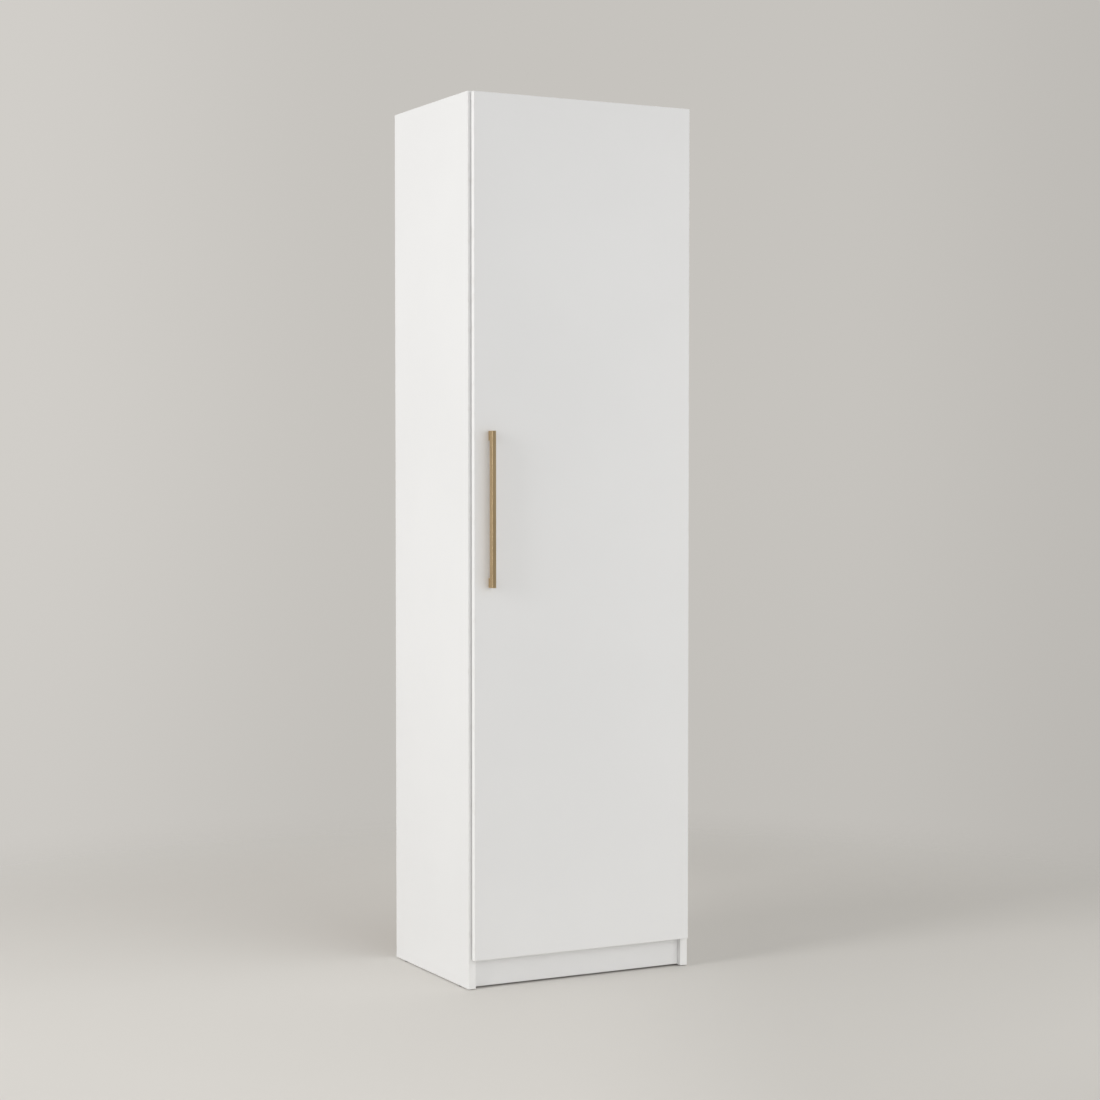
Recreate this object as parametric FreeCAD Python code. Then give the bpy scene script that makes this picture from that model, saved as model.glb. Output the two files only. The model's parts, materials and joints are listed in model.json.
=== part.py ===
import FreeCAD, Part
import os

# Carcass boards
cupboard_height = 1760.0
cupboard_width = 500.0
carcass_depth = 350.0
board = 16.0
board_edge_radius = 0.5
top_compartment_height = 298.0
shelf_setback = 20.0

# Thin back held in grooves of the sides
back_thickness = 3.0
back_inset = 10.0
back_top_drop = 1.0
groove_depth = 6.0
groove_play = 0.3
back_side_play = 0.5
back_screw_edge_distance = 70.0
back_screws_per_board = 3

# Base rails and floor glides
plinth_height = 60.0
plinth_recess = 10.0
plinth_floor_gap = 4.0
glide_height = 2.0
glide_radius = 7.0
glide_nail_radius = 1.0
glide_nail_length = 14.0
glide_edge_distance = 45.0

# Knock-down fastenings
cam_radius = 7.5
cam_height = 12.5
cam_distance = 24.0
cam_edge_distance = 50.0
cam_slot_length = 9.0
cam_slot_width = 1.4
cam_slot_depth = 2.0
bolt_bore_radius = 4.0
bolt_collar_radius = 3.6
bolt_collar_length = 1.5
bolt_shank_radius = 2.5
bolt_head_radius = 3.4
bolt_head_length = 3.5
bolt_thread_length = 11.0
bolt_head_to_cam_centre = 1.0
dowel_radius = 4.0
dowel_in_side = 11.0
dowel_in_board = 20.0
dowel_to_cam = 32.0
plinth_dowel_margin = 16.0
drill_play = 0.05
drill_end_play = 0.5

# Screws that are used throughout
screw_head_radius = 3.2
screw_head_height = 1.8
screw_shank_radius = 1.75
screw_in_board = 11.0
screw_in_door = 8.5
fitting_hole_play = 0.3
recess_length = 3.4
recess_width = 0.9
recess_depth = 1.0

# Wall brackets under the top board
bracket_thickness = 2.0
bracket_leg = 40.0
bracket_width = 20.0
bracket_spacing = 280.0
bracket_hole_distance = 26.0
wall_hole_radius = 2.75
wall_hole_back_play = 0.5

# Door and the air around it
door_thickness = 12.0
door_edge_radius = 1.0
door_gap = 2.8
door_side_reveal = 6.2
door_top_reveal = 2.0
buffer_radius = 4.0
buffer_edge_distance = 0.6
buffer_end_distance = 60.0

# Bar handle
handle_length = 307.0
handle_width = 8.0
handle_depth = 13.0
handle_projection = 20.0
handle_edge_radius = 0.6
handle_centre_height = 946.5
handle_inset = 34.0
post_height = 19.0
post_width = 6.0
handle_screw_radius = 2.0
handle_screw_head_radius = 4.0
handle_screw_in_bar = 8.0

# Magnetic catch on the left side
catch_width = 13.0
catch_depth = 34.0
catch_height = 46.0
catch_setback = 1.0
catch_screw_spacing = 30.0
catch_screw_depth = 24.0
magnet_width = 6.0
magnet_depth = 16.0
magnet_height = 20.0
strike_thickness = 1.0
strike_width = 12.0
strike_height = 46.0
strike_screw_spacing = 34.0

# Concealed hinges on the right side
hinge_count = 4
hinge_end_distance = 100.0
cup_radius = 17.5
cup_edge_distance = 3.0
cup_depth = 9.4
cup_wall = 1.2
cup_flange = 1.0
cup_cheek = 6.0
cup_wing_width = 16.0
cup_wing_length = 60.0
cup_screw_offset = 6.0
cup_screw_spacing = 48.0
pivot_inset = 6.25
pivot_depth = 6.6
pin_radius = 1.0
pin_length = 17.0
pin_play = 0.05
eye_radius = 1.9
neck_thickness = 2.2
neck_height = 6.0
neck_reach = 14.0
neck_play = 0.3
elbow_play = 0.7
arm_height = 14.0
arm_wall = 1.5
arm_shoulder = 6.0
arm_flange_start = 12.0
arm_end = 64.0
plate_thickness = 3.0
plate_setback = 37.0
plate_front = 18.0
plate_end = 66.0
plate_height = 18.0
wing_width = 12.0
wing_length = 46.0
plate_screw_spacing = 32.0
rail_rise = 5.0
rail_front = 22.0
rail_end = 62.0
rail_play = 0.5
arm_screw_front = 28.0
arm_screw_rear = 48.0
arm_screw_grip = 4.0

# Places that follow from the sizes above, with the origin on the floor at the middle of the whole depth
V = FreeCAD.Vector
left = V(-1, 0, 0)
right = V(1, 0, 0)
forward = V(0, -1, 0)
backward = V(0, 1, 0)
up = V(0, 0, 1)
half_width = cupboard_width / 2
inner_half = half_width - board
back_y = (carcass_depth + door_gap + door_thickness + handle_projection) / 2
front_y = back_y - carcass_depth
back_face_y = back_y - back_inset - back_thickness
door_rear_y = front_y - door_gap
door_front_y = door_rear_y - door_thickness
handle_front_y = door_front_y - handle_projection
handle_rear_y = handle_front_y + handle_depth
door_left = -half_width + door_side_reveal
door_right = half_width - door_side_reveal
door_bottom = plinth_height
door_top = cupboard_height - door_top_reveal
top_underside = cupboard_height - board
shelf_underside = top_underside - top_compartment_height - board
pilot_radius = screw_shank_radius + drill_play
fitting_hole_radius = screw_shank_radius + fitting_hole_play
nodes = {}


def block(x0, x1, y0, y1, z0, z1):
    return Part.makeBox(x1 - x0, y1 - y0, z1 - z0, V(x0, y0, z0))


def rounded_block(x0, x1, y0, y1, z0, z1, radius):
    body = block(x0, x1, y0, y1, z0, z1)
    return body.makeFillet(radius, body.Edges)


def rod(start, direction, radius, length):
    return Part.makeCylinder(radius, length, start, direction)


def screw(seat, direction, length, head_radius=screw_head_radius, shank_radius=screw_shank_radius):
    head = Part.makeCylinder(head_radius, screw_head_height, V(0, 0, -screw_head_height))
    head = head.fuse(Part.makeCylinder(shank_radius, length))
    long_half = recess_length / 2
    short_half = recess_width / 2
    low = -screw_head_height
    high = low + recess_depth
    cross = block(-long_half, long_half, -short_half, short_half, low, high)
    cross = cross.fuse(block(-short_half, short_half, -long_half, long_half, low, high))
    body = head.cut(cross)
    body.Placement = FreeCAD.Placement(seat, FreeCAD.Rotation(up, direction))
    return body


# Side boards, grooved along their inner faces near the rear edge for the back
sides = {}
for sign in (-1, 1):
    x_faces = sorted((sign * inner_half, sign * half_width))
    side = rounded_block(
        x_faces[0], x_faces[1], front_y, back_y, glide_height, cupboard_height, board_edge_radius
    )
    groove_faces = sorted((sign * inner_half, sign * (inner_half + groove_depth)))
    groove_end_y = back_face_y + back_thickness + groove_play
    groove = block(
        groove_faces[0], groove_faces[1], back_face_y, groove_end_y, glide_height, cupboard_height
    )
    sides[sign] = side.cut(groove)

# Boards between the sides, each with its underside height and its front edge
board_places = {
    "bottom_panel": (plinth_height, front_y),
    "fixed_shelf": (shelf_underside, front_y + shelf_setback),
    "top_panel": (top_underside, front_y),
}
boards = {}
for name, (underside, board_front_y) in board_places.items():
    z_top = underside + board
    boards[name] = rounded_block(
        -inner_half, inner_half, board_front_y, back_face_y, underside, z_top, board_edge_radius
    )

# Base rails, the front one set back from the front edges of the sides
front_plinth_y = front_y + plinth_recess
rear_plinth_y = back_face_y - board
plinths = {}
for name, y0 in (("front_plinth", front_plinth_y), ("rear_plinth", rear_plinth_y)):
    plinths[name] = rounded_block(
        -inner_half, inner_half, y0, y0 + board, plinth_floor_gap, plinth_height, board_edge_radius
    )

# Back in the grooves, closing the carcass from the bottom board to the top board
back_half = inner_half + groove_depth - back_side_play
back_top = cupboard_height - back_top_drop
back_panel = block(-back_half, back_half, back_face_y, back_face_y + back_thickness, plinth_height, back_top)

# Cam locks, cam bolts and dowels between the boards and the sides
cam_locks = []
cam_bolts = []
dowels = []


def dowel_joint(target, name, sign, y, z):
    face = V(sign * inner_half, y, z)
    outward = right * sign
    sides[sign] = sides[sign].cut(rod(face, outward, dowel_radius + drill_play, dowel_in_side))
    board_hole = dowel_in_board + drill_end_play
    target[name] = target[name].cut(rod(face, outward * -1, dowel_radius + drill_play, board_hole))
    dowels.append(rod(face - outward * dowel_in_board, outward, dowel_radius, dowel_in_board + dowel_in_side))


def cam_joint(name, sign, y, underside):
    outward = right * sign
    face = V(sign * inner_half, y, underside + board / 2)
    cam_base = V(sign * (inner_half - cam_distance), y, underside)
    bore = rod(face, outward * -1, bolt_bore_radius, cam_distance + bolt_head_to_cam_centre)
    thread_hole = bolt_thread_length + drill_end_play
    sides[sign] = sides[sign].cut(rod(face, outward, bolt_shank_radius + drill_play, thread_hole))
    cam_hole = rod(cam_base, up, cam_radius + drill_play, cam_height)
    boards[name] = boards[name].cut(bore).cut(cam_hole)
    slot_half = cam_slot_length / 2
    slot_x = cam_base.x
    width_half = cam_slot_width / 2
    slot_top = underside + cam_slot_depth
    slot = block(slot_x - slot_half, slot_x + slot_half, y - width_half, y + width_half, underside, slot_top)
    slot = slot.fuse(
        block(slot_x - width_half, slot_x + width_half, y - slot_half, y + slot_half, underside, slot_top)
    )
    cam_locks.append(rod(cam_base, up, cam_radius, cam_height).cut(bore).cut(slot))
    shank_length = cam_distance - bolt_head_to_cam_centre
    bolt = rod(face - outward * shank_length, outward, bolt_shank_radius, shank_length + bolt_thread_length)
    bolt = bolt.fuse(rod(face, outward * -1, bolt_collar_radius, bolt_collar_length))
    bolt = bolt.fuse(rod(face - outward * shank_length, outward, bolt_head_radius, bolt_head_length))
    cam_bolts.append(bolt)


for name, (underside, board_front_y) in board_places.items():
    for sign in (-1, 1):
        for end_y, inward in ((board_front_y, 1), (back_face_y, -1)):
            cam_y = end_y + inward * cam_edge_distance
            cam_joint(name, sign, cam_y, underside)
            dowel_joint(boards, name, sign, cam_y + inward * dowel_to_cam, underside + board / 2)
for name, y0 in (("front_plinth", front_plinth_y), ("rear_plinth", rear_plinth_y)):
    for sign in (-1, 1):
        for z in (plinth_floor_gap + plinth_dowel_margin, plinth_height - plinth_dowel_margin):
            dowel_joint(plinths, name, sign, y0 + board / 2, z)

# Screws that hold the back to the rear edges of the boards
back_screws = []
screw_span = 2 * (inner_half - back_screw_edge_distance)
for name, (underside, board_front_y) in board_places.items():
    for index in range(back_screws_per_board):
        x = -screw_span / 2 + index * screw_span / (back_screws_per_board - 1)
        seat = V(x, back_face_y + back_thickness, underside + board / 2)
        length = back_thickness + screw_in_board
        back_panel = back_panel.cut(rod(seat, forward, fitting_hole_radius, back_thickness))
        boards[name] = boards[name].cut(rod(seat, forward, pilot_radius, length + drill_end_play))
        back_screws.append(screw(seat, forward, length))

# Floor glides nailed into the lower edges of the sides
floor_glides = []
for sign in (-1, 1):
    for y in (front_y + glide_edge_distance, back_y - glide_edge_distance):
        foot = V(sign * (inner_half + board / 2), y, 0)
        nail_seat = foot + up * glide_height
        nail_hole = glide_nail_length + drill_end_play
        sides[sign] = sides[sign].cut(rod(nail_seat, up, glide_nail_radius + drill_play, nail_hole))
        glide = rod(foot, up, glide_radius, glide_height)
        floor_glides.append(glide.fuse(rod(nail_seat, up, glide_nail_radius, glide_nail_length)))

# Angle brackets under the top board, each with a hole for a wall screw
bracket_screws = []
for name, sign in (("left_wall_bracket", -1), ("right_wall_bracket", 1)):
    x = sign * bracket_spacing / 2
    x0 = x - bracket_width / 2
    x1 = x + bracket_width / 2
    bracket = block(
        x0, x1, back_face_y - bracket_leg, back_face_y, top_underside - bracket_thickness, top_underside
    )
    bracket = bracket.fuse(
        block(x0, x1, back_face_y - bracket_thickness, back_face_y, top_underside - bracket_leg, top_underside)
    ).removeSplitter()
    wall_hole = V(x, back_face_y, top_underside - bracket_hole_distance)
    bracket = bracket.cut(rod(wall_hole, forward, wall_hole_radius, bracket_thickness))
    clearance_radius = wall_hole_radius + wall_hole_back_play
    back_panel = back_panel.cut(rod(wall_hole, backward, clearance_radius, back_thickness))
    seat = V(x, back_face_y - bracket_hole_distance, top_underside - bracket_thickness)
    length = bracket_thickness + screw_in_board
    nodes[name] = bracket.cut(rod(seat, up, fitting_hole_radius, bracket_thickness))
    boards["top_panel"] = boards["top_panel"].cut(rod(seat, up, pilot_radius, length + drill_end_play))
    bracket_screws.append(screw(seat, up, length))

# Slab door with softly rounded edges
door = rounded_block(
    door_left, door_right, door_front_y, door_rear_y, door_bottom, door_top, door_edge_radius
)

# Soft buffers on the front edge of the left side
door_buffers = []
buffer_x = door_left + buffer_edge_distance + buffer_radius
for z in (door_bottom + buffer_end_distance, door_top - buffer_end_distance):
    door_buffers.append(rod(V(buffer_x, front_y, z), forward, buffer_radius, door_gap))

# Bar handle on two end posts, held by screws from inside the door
handle_x = door_left + handle_inset
bar_left = handle_x - handle_width / 2
bar_bottom = handle_centre_height - handle_length / 2
bar_top = handle_centre_height + handle_length / 2
handle_bar = rounded_block(
    bar_left, bar_left + handle_width, handle_front_y, handle_rear_y, bar_bottom, bar_top, handle_edge_radius
)
handle_screws = []
post_left = handle_x - post_width / 2
handle_bore_radius = handle_screw_radius + drill_play
for name, z0 in (("handle_lower_post", bar_bottom), ("handle_upper_post", bar_top - post_height)):
    post = block(post_left, post_left + post_width, handle_rear_y, door_front_y, z0, z0 + post_height)
    seat = V(handle_x, door_rear_y, z0 + post_height / 2)
    length = door_rear_y - handle_rear_y + handle_screw_in_bar
    bore = rod(seat, forward, handle_bore_radius, length + drill_end_play)
    door = door.cut(bore)
    nodes[name] = post.cut(bore)
    handle_bar = handle_bar.cut(bore)
    handle_screws.append(screw(seat, forward, length, handle_screw_head_radius, handle_screw_radius))

# Magnetic catch beside the handle, with its strike plate on the door
catch_y = front_y + catch_setback
catch_z = handle_centre_height
catch_face_x = -inner_half + catch_width
magnet_x = -inner_half + catch_width / 2
magnet_front_y = door_rear_y + strike_thickness
magnet_rear_y = catch_y + magnet_depth
catch_housing = block(
    -inner_half, catch_face_x, catch_y, catch_y + catch_depth,
    catch_z - catch_height / 2, catch_z + catch_height / 2
)
catch_magnet = block(
    magnet_x - magnet_width / 2, magnet_x + magnet_width / 2, magnet_front_y, magnet_rear_y,
    catch_z - magnet_height / 2, catch_z + magnet_height / 2
)
catch_housing = catch_housing.cut(catch_magnet)
strike_plate = block(
    magnet_x - strike_width / 2, magnet_x + strike_width / 2, door_rear_y, magnet_front_y,
    catch_z - strike_height / 2, catch_z + strike_height / 2
)
catch_screws = []
strike_screws = []
for sign in (-1, 1):
    seat = V(catch_face_x, catch_y + catch_screw_depth, catch_z + sign * catch_screw_spacing / 2)
    length = catch_width + screw_in_board
    catch_housing = catch_housing.cut(rod(seat, left, fitting_hole_radius, catch_width))
    sides[-1] = sides[-1].cut(rod(seat, left, pilot_radius, length + drill_end_play))
    catch_screws.append(screw(seat, left, length))
    seat = V(magnet_x, magnet_front_y, catch_z + sign * strike_screw_spacing / 2)
    length = strike_thickness + screw_in_door
    strike_plate = strike_plate.cut(rod(seat, forward, fitting_hole_radius, strike_thickness))
    door = door.cut(rod(seat, forward, pilot_radius, length + drill_end_play))
    strike_screws.append(screw(seat, forward, length))

# Concealed hinges: a goose-neck arm on a plate turns on a pin across the cup in the door
pivot_x = door_right - pivot_inset
pivot_y = door_rear_y - pivot_depth
cup_x = door_right - cup_edge_distance - cup_radius
riser_x = pivot_x - neck_reach
web_outer_x = riser_x - neck_thickness / 2
web_inner_x = riser_x + neck_thickness / 2
plate_face_x = inner_half - plate_thickness
rail_top_x = plate_face_x - rail_rise
pocket_floor_y = pivot_y - eye_radius - neck_play
plate_screws = []
arm_screws = []
cup_screws = []


def hinge_arm(z):
    low = z - neck_height / 2
    high = z + neck_height / 2
    half = neck_thickness / 2
    arm = block(riser_x, pivot_x, pivot_y - half, pivot_y + half, low, high)
    arm = arm.fuse(rod(V(pivot_x, pivot_y, low), up, eye_radius, neck_height))
    arm = arm.fuse(rod(V(riser_x, pivot_y, low), up, half, neck_height))
    arm = arm.fuse(block(web_outer_x, web_inner_x, pivot_y, front_y + arm_shoulder, low, high))
    low = z - arm_height / 2
    high = z + arm_height / 2
    end_y = front_y + arm_end
    arm = arm.fuse(block(web_outer_x, web_inner_x, front_y + arm_shoulder, end_y, low, high))
    for z0 in (low, high - arm_wall):
        arm = arm.fuse(
            block(web_inner_x, plate_face_x, front_y + arm_flange_start, end_y, z0, z0 + arm_wall)
        )
    arm = arm.removeSplitter()
    return arm.cut(rod(V(pivot_x, pivot_y, z - neck_height), up, pin_radius + pin_play, 2 * neck_height))


def hinge_plate(z):
    base_half = plate_height / 2
    rail_half = arm_height / 2 - arm_wall - rail_play
    wing_y = front_y + plate_setback
    plate = block(
        plate_face_x, inner_half, front_y + plate_front, front_y + plate_end, z - base_half, z + base_half
    )
    plate = plate.fuse(
        block(
            plate_face_x, inner_half, wing_y - wing_width / 2, wing_y + wing_width / 2,
            z - wing_length / 2, z + wing_length / 2
        )
    )
    plate = plate.fuse(
        block(rail_top_x, plate_face_x, front_y + rail_front, front_y + rail_end, z - rail_half, z + rail_half)
    )
    return plate.removeSplitter()


def hinge_cup(z):
    seat = V(cup_x, door_rear_y, z)
    wing_x = cup_x - cup_screw_offset
    cup = rod(seat + backward * cup_flange, forward, cup_radius, cup_flange + cup_depth)
    cup = cup.fuse(
        block(
            wing_x - cup_wing_width / 2, wing_x + cup_wing_width / 2, door_rear_y, door_rear_y + cup_flange,
            z - cup_wing_length / 2, z + cup_wing_length / 2
        )
    ).removeSplitter()
    pocket_mouth_y = door_rear_y + cup_flange
    slot_half = neck_height / 2 + neck_play
    slot = block(
        web_outer_x - elbow_play, pivot_x + eye_radius + neck_play, pocket_floor_y, pocket_mouth_y,
        z - slot_half, z + slot_half
    )
    hollow = rod(V(cup_x, pocket_floor_y, z), backward, cup_radius - cup_wall, pocket_mouth_y - pocket_floor_y)
    hollow = hollow.common(
        block(
            cup_x - cup_radius, pivot_x - cup_cheek, pocket_floor_y, pocket_mouth_y,
            z - cup_radius, z + cup_radius
        )
    )
    pin_hole = rod(V(pivot_x, pivot_y, z - pin_length / 2), up, pin_radius, pin_length)
    return cup.cut(slot.fuse(hollow)).cut(pin_hole)


hinge_step = (door_top - door_bottom - 2 * hinge_end_distance) / (hinge_count - 1)
for index in range(hinge_count):
    z = door_bottom + hinge_end_distance + index * hinge_step
    label = "hinge_%d" % (index + 1)
    arm = hinge_arm(z)
    plate = hinge_plate(z)
    cup = hinge_cup(z)
    door = door.cut(rod(V(cup_x, door_rear_y, z), forward, cup_radius + drill_play, cup_depth))
    for y in (front_y + arm_screw_front, front_y + arm_screw_rear):
        seat = V(web_outer_x, y, z)
        length = rail_top_x + arm_screw_grip - web_outer_x
        arm = arm.cut(rod(seat, right, fitting_hole_radius, neck_thickness))
        plate = plate.cut(rod(seat, right, pilot_radius, length + drill_end_play))
        arm_screws.append(screw(seat, right, length))
    for sign in (-1, 1):
        seat = V(plate_face_x, front_y + plate_setback, z + sign * plate_screw_spacing / 2)
        length = plate_thickness + screw_in_board
        plate = plate.cut(rod(seat, right, fitting_hole_radius, plate_thickness))
        sides[1] = sides[1].cut(rod(seat, right, pilot_radius, length + drill_end_play))
        plate_screws.append(screw(seat, right, length))
        seat = V(cup_x - cup_screw_offset, door_rear_y + cup_flange, z + sign * cup_screw_spacing / 2)
        length = cup_flange + screw_in_door
        cup = cup.cut(rod(seat, forward, fitting_hole_radius, cup_flange))
        door = door.cut(rod(seat, forward, pilot_radius, length + drill_end_play))
        cup_screws.append(screw(seat, forward, length))
    nodes[label + "_arm"] = arm
    nodes[label + "_plate"] = plate
    nodes[label + "_cup"] = cup
    nodes[label + "_pin"] = rod(V(pivot_x, pivot_y, z - pin_length / 2), up, pin_radius, pin_length)

# Every finished piece under its own name, fasteners of one kind as one group
nodes["left_side"] = sides[-1]
nodes["right_side"] = sides[1]
nodes.update(boards)
nodes.update(plinths)
nodes["back_panel"] = back_panel
nodes["door_panel"] = door
nodes["handle_bar"] = handle_bar
nodes["catch_housing"] = catch_housing
nodes["catch_magnet"] = catch_magnet
nodes["strike_plate"] = strike_plate
groups = {
    "cam_locks": cam_locks,
    "cam_bolts": cam_bolts,
    "dowels": dowels,
    "back_screws": back_screws,
    "floor_glides": floor_glides,
    "bracket_screws": bracket_screws,
    "door_buffers": door_buffers,
    "handle_screws": handle_screws,
    "catch_screws": catch_screws,
    "strike_screws": strike_screws,
    "plate_screws": plate_screws,
    "arm_screws": arm_screws,
    "cup_screws": cup_screws,
}
for name, solids in groups.items():
    nodes[name] = Part.makeCompound(solids)

os.makedirs("parts", exist_ok=True)
for name, shape in nodes.items():
    shape.exportStep("parts/%s.step" % name)
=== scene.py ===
import json
import math

import bmesh
import bpy
from mathutils import Matrix, Vector


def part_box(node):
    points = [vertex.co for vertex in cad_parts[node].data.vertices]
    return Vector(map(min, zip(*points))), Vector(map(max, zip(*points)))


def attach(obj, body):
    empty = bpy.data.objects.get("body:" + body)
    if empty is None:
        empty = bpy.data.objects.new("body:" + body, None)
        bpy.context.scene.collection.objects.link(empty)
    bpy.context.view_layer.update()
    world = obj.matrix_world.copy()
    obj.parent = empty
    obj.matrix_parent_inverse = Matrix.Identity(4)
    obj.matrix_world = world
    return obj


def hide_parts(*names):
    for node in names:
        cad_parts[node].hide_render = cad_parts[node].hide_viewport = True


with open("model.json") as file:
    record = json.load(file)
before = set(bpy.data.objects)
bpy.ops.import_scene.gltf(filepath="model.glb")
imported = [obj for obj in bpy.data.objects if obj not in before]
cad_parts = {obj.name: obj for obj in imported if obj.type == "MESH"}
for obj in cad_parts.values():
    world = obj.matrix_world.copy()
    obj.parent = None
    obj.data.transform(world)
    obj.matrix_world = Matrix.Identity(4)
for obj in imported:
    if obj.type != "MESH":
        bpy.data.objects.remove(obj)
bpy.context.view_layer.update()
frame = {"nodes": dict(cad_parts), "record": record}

# Side boards: 16 mm chipboard faced on both sides in matt white melamine foil. Every edge carries a 1 mm
# white band, ironed on and trimmed flush, so that a hairline joint runs beside the arris. They stand on
# glides, and the other boards of the carcass are fixed between them.
nodes = frame["nodes"]
band_thickness = 0.001
band_joint_half = 0.00011
foil_white = (0.862, 0.866, 0.870, 1.0)
foil_shade = (0.842, 0.846, 0.850, 1.0)
band_white = (0.905, 0.908, 0.908, 1.0)
foil_rubbed = (0.765, 0.755, 0.735, 1.0)
joint_grey = (0.52, 0.51, 0.49, 1.0)
joint_share = 0.55
joint_groove = 0.5
cloud_scale = 2.4
rub_scale = 38.0
rub_span = (0.52, 0.78)
rub_reach = 0.006
rub_share = 0.4
gloss_scale = 17.0
foil_rough = (0.40, 0.52)
foil_specular = 0.4
pearl_scale = 1300.0
pearl_share = 0.6
ripple_scale = 45.0
ripple_share = 0.8
foil_relief = 0.00003
noise_span = (0.3, 0.7)
none_to_all = (0.0, 1.0)


def new_finish(name):
    """Starts a finish and gives it with its node tree and its surface shader."""
    finish = bpy.data.materials.new(name)
    finish.use_nodes = True
    tree = finish.node_tree
    return finish, tree, tree.nodes["Principled BSDF"]


def step(tree, kind, wires=None, **options):
    """Adds one node, with each socket wired to a source or set to a plain value."""
    node = tree.nodes.new("ShaderNode" + kind)
    for option, value in options.items():
        setattr(node, option, value)
    for socket, source in (wires or {}).items():
        if isinstance(source, bpy.types.NodeSocket):
            tree.links.new(source, node.inputs[socket])
        else:
            node.inputs[socket].default_value = source
    return node


def calc(tree, operation, first, second=0.0, third=0.0):
    return step(tree, "Math", {0: first, 1: second, 2: third}, operation=operation).outputs[0]


def grain(tree, place, scale, detail=2.0, roughness=0.5):
    wires = {"Vector": place, "Scale": scale, "Detail": detail, "Roughness": roughness}
    return step(tree, "TexNoise", wires).outputs["Fac"]


def spread(tree, value, span, result):
    """Runs smoothly from one end of the result to the other as the value crosses the span."""
    wires = {
        "Value": value, "From Min": span[0], "From Max": span[1], "To Min": result[0], "To Max": result[1]
    }
    return step(tree, "MapRange", wires, interpolation_type="SMOOTHSTEP").outputs["Result"]


def blend_tones(tree, share, first, second):
    return step(tree, "Mix", {0: share, 6: first, 7: second}, data_type="RGBA").outputs[2]


def run_tones(tree, value, span, first, second, share=1.0):
    """Runs from the first tone towards the second as the value crosses the span."""
    return blend_tones(tree, spread(tree, value, span, (0.0, share)), first, second)


def coat(tree, shader, tone, roughness):
    tree.links.new(tone, shader.inputs["Base Color"])
    tree.links.new(roughness, shader.inputs["Roughness"])


def relief(tree, shader, height, depth):
    bump = step(tree, "Bump", {"Height": height, "Distance": depth, "Strength": 1.0})
    tree.links.new(bump.outputs["Normal"], shader.inputs["Normal"])


def object_place(tree):
    return step(tree, "TexCoord").outputs["Object"]


def wear_finish(node_name, finish):
    mesh = nodes[node_name].data
    mesh.materials.clear()
    mesh.materials.append(finish)


def board_finish(node_name, banded):
    """Faces a board in foil and bands the named edges, each an axis and the side of it."""
    finish, tree, shader = new_finish("white_foil_" + node_name)
    low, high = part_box(node_name)
    place = object_place(tree)
    axes = step(tree, "SeparateXYZ", {0: place})
    inward = None
    for side in banded:
        axis = "xyz".index(side[0])
        if side[1] == "-":
            distance = calc(tree, "SUBTRACT", axes.outputs[axis], low[axis])
        else:
            distance = calc(tree, "SUBTRACT", high[axis], axes.outputs[axis])
        inward = distance if inward is None else calc(tree, "MINIMUM", inward, distance)
    clouds = grain(tree, place, cloud_scale, detail=3.0)
    tone = run_tones(tree, clouds, noise_span, foil_shade, foil_white)
    band = calc(tree, "LESS_THAN", inward, band_thickness)
    tone = blend_tones(tree, band, tone, band_white)
    rubs = spread(tree, grain(tree, place, rub_scale, detail=4.0), rub_span, none_to_all)
    handling = calc(tree, "MULTIPLY", spread(tree, inward, (0.0, rub_reach), (rub_share, 0.0)), rubs)
    tone = blend_tones(tree, handling, tone, foil_rubbed)
    joint = calc(tree, "COMPARE", inward, band_thickness, band_joint_half)
    tone = blend_tones(tree, calc(tree, "MULTIPLY", joint, joint_share), tone, joint_grey)
    gloss = grain(tree, place, gloss_scale, detail=5.0)
    coat(tree, shader, tone, spread(tree, gloss, noise_span, foil_rough))
    pearl = calc(tree, "MULTIPLY", grain(tree, place, pearl_scale, detail=1.0), pearl_share)
    ripple = calc(tree, "MULTIPLY", grain(tree, place, ripple_scale), ripple_share)
    height = calc(tree, "ADD", pearl, ripple)
    height = calc(tree, "SUBTRACT", height, calc(tree, "MULTIPLY", joint, joint_groove))
    relief(tree, shader, height, foil_relief)
    shader.inputs["Specular IOR Level"].default_value = foil_specular
    wear_finish(node_name, finish)


for side_board in ("left_side", "right_side"):
    board_finish(side_board, ("y-", "y+", "z+", "z-"))

# Bottom board, fixed shelf and top board: the same 16 mm melamine board, cut to fit between the sides
# and banded on the front edge only. Cam locks, bolts and dowels hold each one to the sides.
for cross_board in ("bottom_panel", "fixed_shelf", "top_panel"):
    board_finish(cross_board, ("y-",))

# Plinth rails: two strips of the same board under the bottom board, banded below. The front one is set
# back behind the door and stops short of the floor. Dowels hold them between the sides.
for rail in ("front_plinth", "rear_plinth"):
    board_finish(rail, ("z-",))

# Back: 3 mm hardboard with a white printed face inside. The rear is left brown and keeps the print of
# the wire screen it was pressed on. It slides into grooves in the sides and is screwed to the boards.
screen_pitch = 0.0022
print_white = (0.80, 0.795, 0.78, 1.0)
print_shade = (0.775, 0.768, 0.75, 1.0)
print_rough = (0.42, 0.52)
fibre_brown = (0.340, 0.215, 0.125, 1.0)
fibre_dark = (0.215, 0.130, 0.073, 1.0)
fibre_pale = (0.375, 0.243, 0.147, 1.0)
fibre_scale = 850.0
fibre_span = (0.35, 0.7)
fibre_rough = (0.72, 0.90)
fibre_height = 0.8
patch_scale = 9.0
patch_span = (0.4, 0.75)
patch_share = 0.3
pit_shade = (0.150, 0.090, 0.050, 1.0)
pit_span = (-0.4, -1.8)
pit_share = 0.45
screen_relief = 0.00009
back_finish, tree, shader = new_finish("printed_hardboard")
back_low, back_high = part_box("back_panel")
place = object_place(tree)
axes = step(tree, "SeparateXYZ", {0: place})
rear = calc(tree, "GREATER_THAN", axes.outputs[1], (back_low.y + back_high.y) / 2)
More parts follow.
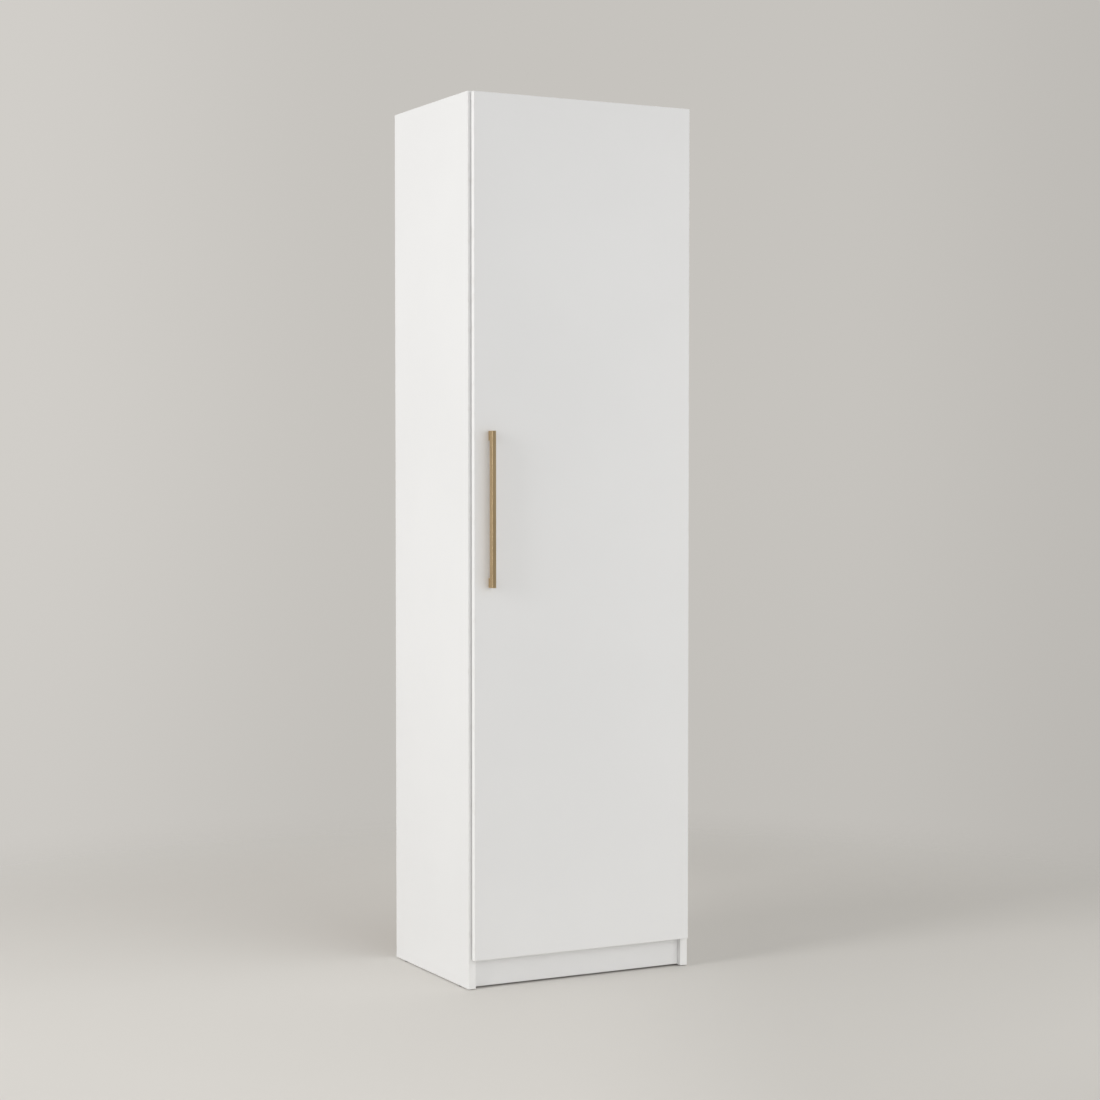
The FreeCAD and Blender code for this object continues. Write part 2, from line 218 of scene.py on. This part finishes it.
fibres = grain(tree, place, fibre_scale, detail=6.0, roughness=0.7)
patches = grain(tree, place, patch_scale, detail=5.0)
screen_turn = 2 * math.pi / screen_pitch
across = calc(tree, "SINE", calc(tree, "MULTIPLY", axes.outputs[0], screen_turn))
upward = calc(tree, "SINE", calc(tree, "MULTIPLY", axes.outputs[2], screen_turn))
screen = calc(tree, "MULTIPLY", calc(tree, "ADD", across, upward), rear)
brown = run_tones(tree, fibres, fibre_span, fibre_dark, fibre_brown)
brown = run_tones(tree, patches, patch_span, brown, fibre_pale, patch_share)
brown = run_tones(tree, screen, pit_span, brown, pit_shade, pit_share)
white = run_tones(tree, patches, noise_span, print_white, print_shade)
inner_gloss = spread(tree, patches, noise_span, print_rough)
rear_gloss = spread(tree, fibres, noise_span, fibre_rough)
rough = step(tree, "Mix", {0: rear, 2: inner_gloss, 3: rear_gloss}).outputs[0]
coat(tree, shader, blend_tones(tree, rear, white, brown), rough)
relief(tree, shader, calc(tree, "ADD", screen, calc(tree, "MULTIPLY", fibres, fibre_height)), screen_relief)
wear_finish("back_panel", back_finish)

# Cam locks: small drums die-cast in zinc with slightly rounded arrises, pushed into blind holes under
# the boards and turned with a screwdriver in the cross slot, which draws the cam bolt tight.
record = frame["record"]
node_body = {node: body for body, members in record["behaviour"]["bodies"].items() for node in members}
cam_arris = 0.0003
cast_grey = (0.50, 0.51, 0.52, 1.0)
cast_dull = (0.36, 0.365, 0.37, 1.0)
cast_scale = 700.0
cast_rough = (0.38, 0.6)
cast_relief = 0.00004
stain_scale = 120.0
stain_span = (0.35, 0.7)
merge_distance = 0.000002
flat_angle = math.radians(1.0)
arris_angle = math.radians(35.0)
arris_segments = 2
shading_break = math.radians(20.0)


def finished_piece(name, shape, finish, node_name):
    """Makes the shape an object in place of its node, on the same body, and gives it the finish."""
    mesh = bpy.data.meshes.new(name)
    shape.to_mesh(mesh)
    shape.free()
    mesh.materials.append(finish)
    mesh.polygons.foreach_set("use_smooth", [True] * len(mesh.polygons))
    mesh.set_sharp_from_angle(angle=shading_break)
    piece = bpy.data.objects.new(name, mesh)
    bpy.context.scene.collection.objects.link(piece)
    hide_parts(node_name)
    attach(piece, node_body[node_name])


def merged_copy(node_name):
    shape = bmesh.new()
    shape.from_mesh(nodes[node_name].data)
    bmesh.ops.remove_doubles(shape, verts=shape.verts, dist=merge_distance)
    return shape


def soften(node_name, arris_radius, finish):
    """Replaces a node by the same shape with its outer arrises rounded."""
    shape = merged_copy(node_name)
    bmesh.ops.dissolve_limit(shape, angle_limit=flat_angle, verts=shape.verts, edges=shape.edges)
    arrises = [edge for edge in shape.edges if edge.is_convex and edge.calc_face_angle(0.0) > arris_angle]
    bmesh.ops.bevel(
        shape, geom=arrises, offset=arris_radius, offset_type="OFFSET", affect="EDGES",
        segments=arris_segments, profile=0.5, material=-1
    )
    bmesh.ops.recalc_face_normals(shape, faces=shape.faces)
    finished_piece(node_name + "_softened", shape, finish, node_name)


cam_finish, tree, shader = new_finish("cast_zinc")
place = object_place(tree)
casting = grain(tree, place, cast_scale, detail=4.0, roughness=0.65)
stains = grain(tree, place, stain_scale, detail=3.0)
tone = run_tones(tree, stains, stain_span, cast_grey, cast_dull)
coat(tree, shader, tone, spread(tree, casting, noise_span, cast_rough))
relief(tree, shader, casting, cast_relief)
shader.inputs["Metallic"].default_value = 1.0
soften("cam_locks", cam_arris, cam_finish)

# Cam bolts and back screws: cold-headed steel with a thin bright zinc coat, slightly cloudy from the
# bath. Each back screw has a low domed head with a tapered cross recess, and bites straight into a board.
rearward = (0, 1, 0)
head_height = 0.0018
rim_height = 0.0009
rim_arris = 0.0002
recess_depth = 0.0014
recess_taper = 0.72
head_cells = 9
recess_reach_cells = 2.5
point_start = 0.8
point_share = 0.25
shank_share = 0.55
zinc_bright = (0.70, 0.71, 0.72, 1.0)
zinc_cloud = (0.58, 0.59, 0.60, 1.0)
zinc_warm = (0.66, 0.62, 0.55, 1.0)
bath_scale = 90.0
bath_span = (0.35, 0.68)
tint_scale = 40.0
tint_span = (0.5, 0.75)
tint_share = 0.5
zinc_rough = (0.24, 0.40)
crystal_scale = 1500.0
zinc_relief = 0.000012


def solids_in(node_name):
    """Gives the lowest and highest corner of each separate solid in a node."""
    shape = merged_copy(node_name)
    unseen = set(shape.verts)
    boxes = []
    while unseen:
        reached = [unseen.pop()]
        for vertex in reached:
            for edge in vertex.link_edges:
                other = edge.other_vert(vertex)
                if other in unseen:
                    unseen.remove(other)
                    reached.append(other)
        low = [min(vertex.co[axis] for vertex in reached) for axis in range(3)]
        high = [max(vertex.co[axis] for vertex in reached) for axis in range(3)]
        boxes.append((low, high))
    shape.free()
    return sorted(boxes)


def ring_on(shape, ring, scale, height):
    """Extrudes an open ring of edges to another width and height, and gives the new ring."""
    made = bmesh.ops.extrude_edge_only(shape, edges=ring)["geom"]
    for vertex in made:
        if isinstance(vertex, bmesh.types.BMVert):
            vertex.co = (vertex.co.x * scale, vertex.co.y * scale, height)
    return [edge for edge in made if isinstance(edge, bmesh.types.BMEdge) and edge.is_boundary]


def domed_screw(head_radius, shank_length):
    """Makes one screw along Z with its seat at the origin: a grid rounded to a disc, dug and extruded."""
    shape = bmesh.new()
    bmesh.ops.create_grid(shape, x_segments=head_cells, y_segments=head_cells, size=1.0)
    cell = 2.0 / head_cells
    recess = []
    for face in shape.faces:
        near, far = sorted(abs(value) for value in face.calc_center_median()[:2])
        if near < cell / 2 and far < cell * recess_reach_cells:
            recess.append(face)
    for vertex in shape.verts:
        x, y = vertex.co.x, vertex.co.y
        dome = head_height - (head_height - rim_height) * min(1.0, max(x * x, y * y))
        round_x = x * math.sqrt(1 - y * y / 2)
        round_y = y * math.sqrt(1 - x * x / 2)
        vertex.co = (round_x * head_radius, round_y * head_radius, dome)
    dug = bmesh.ops.extrude_face_region(shape, geom=recess)["geom"]
    recess_floor = [item for item in dug if isinstance(item, bmesh.types.BMVert)]
    bmesh.ops.delete(shape, geom=recess, context="FACES")
    for vertex in recess_floor:
        vertex.co = (vertex.co.x * recess_taper, vertex.co.y * recess_taper, head_height - recess_depth)
    rim = [edge for edge in shape.edges if edge.is_boundary]
    ring = ring_on(shape, rim, 1.0, 0.0)
    bmesh.ops.bevel(
        shape, geom=rim, offset=rim_arris, offset_type="OFFSET", affect="EDGES",
        segments=arris_segments, profile=0.5, material=-1
    )
    ring = ring_on(shape, ring, shank_share, 0.0)
    ring = ring_on(shape, ring, 1.0, -shank_length * point_start)
    ring = ring_on(shape, ring, point_share, -shank_length)
    bmesh.ops.contextual_create(shape, geom=ring)
    bmesh.ops.recalc_face_normals(shape, faces=shape.faces)
    mesh = bpy.data.meshes.new("domed_screw")
    shape.to_mesh(mesh)
    shape.free()
    return mesh


def screw_set(node_name, outward, finish):
    """Replaces a node of like screws by domed ones whose heads face outward."""
    outward = Vector(outward)
    axis = [abs(value) for value in outward].index(1.0)
    side_axis = (axis + 1) % 3
    turn = outward.to_track_quat("Z", "Y").to_matrix().to_4x4()
    boxes = solids_in(node_name)
    low, high = boxes[0]
    pattern = domed_screw((high[side_axis] - low[side_axis]) / 2, high[axis] - low[axis] - head_height)
    shape = bmesh.new()
    for low, high in boxes:
        seat = (Vector(low) + Vector(high)) / 2
        seat[axis] = high[axis] - head_height if outward[axis] > 0 else low[axis] + head_height
        first = len(shape.verts)
        shape.from_mesh(pattern)
        shape.verts.ensure_lookup_table()
        bmesh.ops.transform(shape, matrix=Matrix.Translation(seat) @ turn, verts=shape.verts[first:])
    finished_piece(node_name + "_domed", shape, finish, node_name)
    bpy.data.meshes.remove(pattern)


plated_finish, tree, shader = new_finish("bright_zinc_plate")
place = object_place(tree)
clouds = grain(tree, place, bath_scale, detail=4.0)
tint = grain(tree, place, tint_scale)
tone = run_tones(tree, clouds, bath_span, zinc_bright, zinc_cloud)
tone = run_tones(tree, tint, tint_span, tone, zinc_warm, tint_share)
coat(tree, shader, tone, spread(tree, clouds, noise_span, zinc_rough))
relief(tree, shader, grain(tree, place, crystal_scale), zinc_relief)
shader.inputs["Metallic"].default_value = 1.0
wear_finish("cam_bolts", plated_finish)
screw_set("back_screws", rearward, plated_finish)

# Dowels: turned beech pegs, pressed along their length so that they swell tight in the glue. They sit
# half in the boards and half in the sides, and none of them shows once the carcass is closed.
beech_light = (0.66, 0.47, 0.29, 1.0)
beech_dark = (0.50, 0.32, 0.18, 1.0)
beech_grain = (40.0, 700.0, 700.0)
beech_span = (0.35, 0.65)
beech_rough = (0.55, 0.75)
beech_relief = 0.00006


def drawn_grain(tree, place, scales, detail=2.0):
    """Gives a grain drawn out along the axes whose scale is small."""
    drawn = step(tree, "Mapping", {"Vector": place, "Scale": scales}).outputs[0]
    return grain(tree, drawn, 1.0, detail)


dowel_finish, tree, shader = new_finish("beech_peg")
fibre = drawn_grain(tree, object_place(tree), beech_grain, detail=5.0)
tone = run_tones(tree, fibre, beech_span, beech_dark, beech_light)
coat(tree, shader, tone, spread(tree, fibre, noise_span, beech_rough))
relief(tree, shader, fibre, beech_relief)
wear_finish("dowels", dowel_finish)

# Floor glides: dark moulded discs with a rounded rim on a steel nail, hammered into the lower edges of
# the sides. They keep the board ends off a wet floor and show as a thin dark line.
glide_arris = 0.0005
glide_black = (0.030, 0.030, 0.031, 1.0)
glide_worn = (0.085, 0.083, 0.080, 1.0)
scuff_scale = 160.0
scuff_span = (0.5, 0.75)
glide_rough = (0.42, 0.66)
glide_texture = 900.0
glide_relief = 0.00004
glide_finish, tree, shader = new_finish("moulded_glide")
place = object_place(tree)
scuffs = grain(tree, place, scuff_scale, detail=5.0, roughness=0.6)
tone = run_tones(tree, scuffs, scuff_span, glide_black, glide_worn)
coat(tree, shader, tone, spread(tree, scuffs, noise_span, glide_rough))
relief(tree, shader, grain(tree, place, glide_texture), glide_relief)
soften("floor_glides", glide_arris, glide_finish)

# Wall brackets: angles bent from 2 mm zinc-plated strip, screwed up into the top board. A wall screw
# goes through each upright leg and the back, so that the cupboard can't tip forward.
downward = (0, 0, -1)
bracket_arris = 0.0004
for bracket in ("left_wall_bracket", "right_wall_bracket"):
    soften(bracket, bracket_arris, plated_finish)
screw_set("bracket_screws", downward, plated_finish)

# Magnetic catch: a white moulded housing screwed to the left side, with a dark ferrite block in its
# mouth that meets a plated steel strike on the back of the door.
rightward = (1, 0, 0)
housing_arris = 0.0008
magnet_arris = 0.0004
strike_arris = 0.00025
catch_white = (0.80, 0.795, 0.78, 1.0)
catch_cream = (0.74, 0.73, 0.70, 1.0)
flow_scale = 60.0
catch_rough = (0.36, 0.5)
catch_texture = 1100.0
catch_relief = 0.00003
ferrite_black = (0.035, 0.034, 0.034, 1.0)
ferrite_grey = (0.10, 0.098, 0.096, 1.0)
grit_scale = 1400.0
grit_span = (0.35, 0.7)
ferrite_rough = (0.5, 0.75)
ferrite_relief = 0.00005
housing_finish, tree, shader = new_finish("white_moulding")
place = object_place(tree)
flow = grain(tree, place, flow_scale, detail=3.0)
tone = run_tones(tree, flow, noise_span, catch_white, catch_cream)
coat(tree, shader, tone, spread(tree, flow, noise_span, catch_rough))
relief(tree, shader, grain(tree, place, catch_texture), catch_relief)
soften("catch_housing", housing_arris, housing_finish)
ferrite_finish, tree, shader = new_finish("sintered_ferrite")
grit = grain(tree, object_place(tree), grit_scale, detail=4.0, roughness=0.7)
tone = run_tones(tree, grit, grit_span, ferrite_black, ferrite_grey)
coat(tree, shader, tone, spread(tree, grit, noise_span, ferrite_rough))
relief(tree, shader, grit, ferrite_relief)
soften("catch_magnet", magnet_arris, ferrite_finish)
soften("strike_plate", strike_arris, plated_finish)
screw_set("catch_screws", rightward, plated_finish)
screw_set("strike_screws", rearward, plated_finish)

# Hinges: four concealed hinges pressed from strip and nickel-plated to a satin sheen. Each plate is
# screwed to the right side, its goose-neck arm clips over it and turns on a pin across the door's cup.
leftward = (-1, 0, 0)
hinge_count = 4
plate_arris = 0.0004
arm_arris = 0.0003
cup_arris = 0.0002
nickel_tone = (0.86, 0.845, 0.815, 1.0)
nickel_grey = (0.79, 0.775, 0.745, 1.0)
haze_scale = 35.0
haze_span = (0.35, 0.7)
nickel_lines = (2200.0, 90.0, 2200.0)
nickel_rough = (0.19, 0.28)
nickel_relief = 0.000003
nickel_finish, tree, shader = new_finish("satin_nickel")
place = object_place(tree)
lines = drawn_grain(tree, place, nickel_lines)
haze = grain(tree, place, haze_scale)
tone = run_tones(tree, haze, haze_span, nickel_tone, nickel_grey)
coat(tree, shader, tone, spread(tree, lines, noise_span, nickel_rough))
relief(tree, shader, lines, nickel_relief)
shader.inputs["Metallic"].default_value = 1.0
for number in range(1, hinge_count + 1):
    soften("hinge_%d_plate" % number, plate_arris, nickel_finish)
    soften("hinge_%d_arm" % number, arm_arris, nickel_finish)
    soften("hinge_%d_cup" % number, cup_arris, nickel_finish)
    wear_finish("hinge_%d_pin" % number, plated_finish)
screw_set("plate_screws", leftward, plated_finish)
screw_set("arm_screws", leftward, plated_finish)
screw_set("cup_screws", rearward, plated_finish)

# Door: one 12 mm slab of the same white board, banded on all four edges, with the arrises eased. It lies
# over the front of the carcass and hangs on four cup hinges along its right edge.
board_finish("door_panel", ("x-", "x+", "z-", "z+"))

# Door buffers: soft clear silicone pads with a rounded rim, stuck on the front edge of the left side
# near its ends. The closing door meets them instead of the board.
buffer_arris = 0.0008
silicone_clear = (0.82, 0.82, 0.79, 1.0)
silicone_dusty = (0.68, 0.66, 0.61, 1.0)
dust_scale = 420.0
dust_span = (0.45, 0.75)
dust_share = 0.7
silicone_rough = (0.28, 0.45)
silicone_relief = 0.00002
silicone_clearness = 0.55
silicone_refraction = 1.41
buffer_finish, tree, shader = new_finish("clear_silicone")
dust = grain(tree, object_place(tree), dust_scale, detail=4.0)
tone = run_tones(tree, dust, dust_span, silicone_clear, silicone_dusty, dust_share)
coat(tree, shader, tone, spread(tree, dust, noise_span, silicone_rough))
relief(tree, shader, dust, silicone_relief)
shader.inputs["Transmission Weight"].default_value = silicone_clearness
shader.inputs["IOR"].default_value = silicone_refraction
soften("door_buffers", buffer_arris, buffer_finish)

# Handle: a flat bar and two end posts sawn from drawn brass, brushed along the length and left
# unlacquered, so that the arrises stay bright and the flats have dulled. Screws from inside hold it.
post_arris = 0.0004
brass_tone = (0.650, 0.490, 0.285, 1.0)
brass_dull = (0.525, 0.388, 0.220, 1.0)
brass_bright = (0.800, 0.640, 0.405, 1.0)
bright_arris = 0.0009
bright_share = 0.6
brush_lines = (2600.0, 2600.0, 22.0)
brush_span = (0.5, 0.75)
brush_share = 0.25
tarnish_streaks = (170.0, 170.0, 7.0)
tarnish_span = (0.3, 0.75)
tarnish_share = 0.7
tarnish_rough = 0.08
brass_rough = (0.26, 0.38)
brass_relief = 0.000015


def brass_finish(node_name):
    """Brushes a brass piece along Z and keeps its arrises, the edges of its box, bright."""
    finish, tree, shader = new_finish("brushed_brass_" + node_name)
    low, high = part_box(node_name)
    place = object_place(tree)
    axes = step(tree, "SeparateXYZ", {0: place})
    depths = []
    for axis in range(3):
        middle = (low[axis] + high[axis]) / 2
        from_middle = calc(tree, "ABSOLUTE", calc(tree, "SUBTRACT", axes.outputs[axis], middle))
        depths.append(calc(tree, "SUBTRACT", high[axis] - middle, from_middle))
    nearer = calc(tree, "MINIMUM", depths[0], depths[1])
    farther = calc(tree, "MAXIMUM", depths[0], depths[1])
    from_arris = calc(tree, "MAXIMUM", nearer, calc(tree, "MINIMUM", farther, depths[2]))
    brush = drawn_grain(tree, place, brush_lines, detail=3.0)
    tarnish = drawn_grain(tree, place, tarnish_streaks, detail=4.0)
    tone = run_tones(tree, tarnish, tarnish_span, brass_tone, brass_dull, tarnish_share)
    tone = run_tones(tree, brush, brush_span, tone, brass_bright, brush_share)
    near_arris = spread(tree, from_arris, (0.0, bright_arris), (bright_share, 0.0))
    tone = blend_tones(tree, calc(tree, "MULTIPLY", near_arris, brush), tone, brass_bright)
    dulling = calc(tree, "MULTIPLY", tarnish, tarnish_rough)
    coat(tree, shader, tone, calc(tree, "ADD", spread(tree, brush, noise_span, brass_rough), dulling))
    relief(tree, shader, brush, brass_relief)
    shader.inputs["Metallic"].default_value = 1.0
    return finish


wear_finish("handle_bar", brass_finish("handle_bar"))
for post in ("handle_upper_post", "handle_lower_post"):
    soften(post, post_arris, brass_finish(post))
screw_set("handle_screws", rearward, plated_finish)

# Studio floor: a plain pale round floor, with painted shade that makes it a little darker to the right.
# Away from the cupboard it thins out into the backdrop's tone, so that no edge or horizon shows.
studio_right = (0.886, -0.464, 0.0)
floor_radius = 7.0
floor_segments = 96
floor_fade = (1.05, 2.3)
floor_left = (0.771, 0.753, 0.722, 1.0)
# The right-hand floor tone is painted shade: the floor is darkened towards the right.
floor_painted_shade = (0.694, 0.678, 0.649, 1.0)
floor_shade_reach = (0.0, 0.5)
mottle_scale = 1.6
mottle_share = 0.018
mottle_dark = (0.0, 0.0, 0.0, 1.0)
floor_rough = (0.85, 0.95)
floor_specular = 0.1
floor_mesh = bpy.data.meshes.new("studio_floor")
shape = bmesh.new()
bmesh.ops.create_circle(shape, cap_ends=True, segments=floor_segments, radius=floor_radius)
shape.to_mesh(floor_mesh)
shape.free()
studio_floor = bpy.data.objects.new("studio_floor", floor_mesh)
bpy.context.scene.collection.objects.link(studio_floor)
floor_finish, tree, shader = new_finish("pale_floor")
place = object_place(tree)
sideways = step(tree, "VectorMath", {0: place, 1: studio_right}, operation="DOT_PRODUCT").outputs["Value"]
# Painted shade: the floor's tone runs darker towards the right.
tone = run_tones(tree, sideways, floor_shade_reach, floor_left, floor_painted_shade)
mottle = grain(tree, place, mottle_scale, detail=3.0)
tone = blend_tones(tree, calc(tree, "MULTIPLY", mottle, mottle_share), tone, mottle_dark)
coat(tree, shader, tone, spread(tree, mottle, noise_span, floor_rough))
shader.inputs["Specular IOR Level"].default_value = floor_specular
reach = step(tree, "VectorMath", {0: place}, operation="LENGTH").outputs["Value"]
thinning = spread(tree, reach, floor_fade, none_to_all)
clear = step(tree, "BsdfTransparent")
mix = step(tree, "MixShader", {0: thinning, 1: shader.outputs[0], 2: clear.outputs[0]})
tree.links.new(mix.outputs[0], tree.nodes["Material Output"].inputs["Surface"])
floor_mesh.materials.append(floor_finish)

# Studio light: one soft light on the left, a little before the front, a broad one in front and a pale
# reflector on the right. The backdrop is a warm grey with painted shade that darkens it a little to the
# right and down. The light from all round is brighter behind the cupboard than before it.
backdrop_left = (0.638, 0.617, 0.584, 1.0)
# The backdrop's middle and right tones, and its fall towards the bottom, are painted shade.
backdrop_shaded_middle = (0.565, 0.546, 0.515, 1.0)
backdrop_shaded_right = (0.517, 0.499, 0.470, 1.0)
backdrop_left_turn = (-0.24, -0.06)
backdrop_right_turn = (0.12, 0.24)
backdrop_shade_fall = (-0.19, 0.04)
backdrop_shaded_low = 0.95
surround_front = (0.442, 0.435, 0.422, 1.0)
surround_rear = (0.731, 0.711, 0.680, 1.0)
surround_above = (0.545, 0.536, 0.520, 1.0)
surround_turn = (-0.7, 0.7)
surround_rise = (0.3, 1.0)
cupboard_middle = (0.0, 0.0, 0.9)
key_stand = (-4.6, -0.7, 2.2)
key_size = (1.6, 3.0)
key_power = 98.0
fill_stand = (1.1, -4.8, 1.8)
fill_size = (4.0, 3.0)
fill_power = 62.0
reflector_stand = (1.8, -1.6, 1.0)
reflector_aim = (0.1, -0.17, 0.9)
reflector_size = (1.0, 2.0)
reflector_power = 7.0
world = bpy.data.worlds.new("studio_surround")
world.use_nodes = True
bpy.context.scene.world = world
tree = world.node_tree
facing = step(tree, "TexCoord").outputs["Generated"]
aims = step(tree, "SeparateXYZ", {0: facing})
across = step(tree, "VectorMath", {0: facing, 1: studio_right}, operation="DOT_PRODUCT").outputs["Value"]
# Painted shade: the backdrop seen by the camera runs darker to the right and down.
backdrop = run_tones(tree, across, backdrop_left_turn, backdrop_left, backdrop_shaded_middle)
backdrop = run_tones(tree, across, backdrop_right_turn, backdrop, backdrop_shaded_right)
fall = spread(tree, aims.outputs[2], backdrop_shade_fall, (backdrop_shaded_low, 1.0))
seen = step(tree, "Background", {"Color": backdrop, "Strength": fall})
glow = run_tones(tree, aims.outputs[1], surround_turn, surround_front, surround_rear)
glow = run_tones(tree, aims.outputs[2], surround_rise, glow, surround_above)
lit = step(tree, "Background", {"Color": glow, "Strength": 1.0})
looked_at = step(tree, "LightPath").outputs["Is Camera Ray"]
mix = step(tree, "MixShader", {0: looked_at, 1: lit.outputs[0], 2: seen.outputs[0]})
tree.links.new(mix.outputs[0], tree.nodes["World Output"].inputs["Surface"])
bpy.context.scene.view_settings.view_transform = "Standard"


def soft_light(name, stand, aim, size, power):
    lamp = bpy.data.lights.new(name, "AREA")
    lamp.shape = "RECTANGLE"
    lamp.size, lamp.size_y = size
    lamp.energy = power
    holder = bpy.data.objects.new(name, lamp)
    bpy.context.scene.collection.objects.link(holder)
    turn = (Vector(aim) - Vector(stand)).to_track_quat("-Z", "Y").to_matrix().to_4x4()
    holder.matrix_world = Matrix.Translation(stand) @ turn
    holder.visible_camera = False
    return holder


soft_light("key_light", key_stand, cupboard_middle, key_size, key_power)
fill_light = soft_light("fill_light", fill_stand, cupboard_middle, fill_size, fill_power)
fill_light.visible_glossy = False
reflector = soft_light("reflector", reflector_stand, reflector_aim, reflector_size, reflector_power)
reflector.visible_glossy = False

# Camera: the photograph's view, standing to the left of the front at about one metre above the floor,
# with a short telephoto lens that keeps the uprights nearly parallel.
camera_place = (-2.2018, -4.2295, 1.0152)
camera_turn = math.radians(27.641)
camera_tilt = math.radians(-1.879)
camera_lens = 75.603
sensor_width = 36.0
camera = bpy.data.objects.new("camera", bpy.data.cameras.new("camera"))
bpy.context.scene.collection.objects.link(camera)
camera.data.lens = camera_lens
camera.data.sensor_width = sensor_width
camera.location = camera_place
camera.rotation_euler = (math.pi / 2 + camera_tilt, 0.0, -camera_turn)
bpy.context.scene.camera = camera
